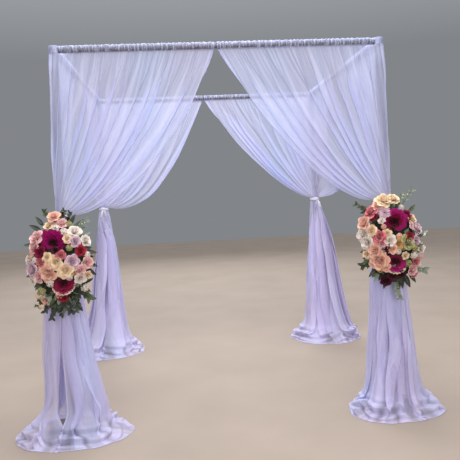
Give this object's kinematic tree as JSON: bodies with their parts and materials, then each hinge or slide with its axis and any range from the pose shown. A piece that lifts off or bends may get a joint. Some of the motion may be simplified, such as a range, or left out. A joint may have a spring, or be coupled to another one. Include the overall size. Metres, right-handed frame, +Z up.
{
  "type": "chuppah canopy",
  "caption": "Square open canopy frame of pipe on plate feet, with sheer white drapes gathered on its bars, tied back to the posts, and flower sprays on the front posts.",
  "frame": {"origin": "the centre of the square plan, on the floor that the base plates stand on", "axes": "+X to the right and +Y to the back as seen from the front, where the flower sprays are; +Z up"},
  "size_m": [2.8229, 2.7318, 2.4384],
  "materials": {
    "sheer_cloth": "sheer white voile with a soft sheen, slightly see-through",
    "ribbon": "white satin ribbon",
    "pipe": "satin anodised tube",
    "steel_plate": "dark powder coat on steel plate",
    "flower_foam": "green foam in a plastic cage",
    "leaves": "dark matte leaves",
    "rose_petals": "matte petals in blush, pink, cream and crimson",
    "magenta_petals": "matte deep magenta petals"
  },
  "bodies": {
    "root": {"back_bar_sleeve": "pipe", "back_bar_slider": "pipe", "back_left_base": "steel_plate", "back_left_pocket": "sheer_cloth", "back_left_post": "pipe", "back_left_side_pocket": "sheer_cloth", "back_left_side_swag": "sheer_cloth", "back_left_swag": "sheer_cloth", "back_left_tail": "sheer_cloth", "back_left_tieback": "ribbon", "back_right_base": "steel_plate", "back_right_pocket": "sheer_cloth", "back_right_post": "pipe", "back_right_side_pocket": "sheer_cloth", "back_right_side_swag": "sheer_cloth", "back_right_swag": "sheer_cloth", "back_right_tail": "sheer_cloth", "back_right_tieback": "ribbon", "front_bar_sleeve": "pipe", "front_bar_slider": "pipe", "front_left_base": "steel_plate", "front_left_pocket": "sheer_cloth", "front_left_post": "pipe", "front_left_side_pocket": "sheer_cloth", "front_left_side_swag": "sheer_cloth", "front_left_swag": "sheer_cloth", "front_left_tail": "sheer_cloth", "front_left_tieback": "ribbon", "front_right_base": "steel_plate", "front_right_pocket": "sheer_cloth", "front_right_post": "pipe", "front_right_side_pocket": "sheer_cloth", "front_right_side_swag": "sheer_cloth", "front_right_swag": "sheer_cloth", "front_right_tail": "sheer_cloth", "front_right_tieback": "ribbon", "left_bar_sleeve": "pipe", "left_bar_slider": "pipe", "left_spray_cage": "flower_foam", "left_spray_leaves": "leaves", "left_spray_lower_bloom": "magenta_petals", "left_spray_roses": "rose_petals", "left_spray_upper_bloom": "magenta_petals", "right_bar_sleeve": "pipe", "right_bar_slider": "pipe", "right_spray_cage": "flower_foam", "right_spray_leaves": "leaves", "right_spray_lower_bloom": "magenta_petals", "right_spray_roses": "rose_petals", "right_spray_upper_bloom": "magenta_petals"}
  },
  "joints": []
}
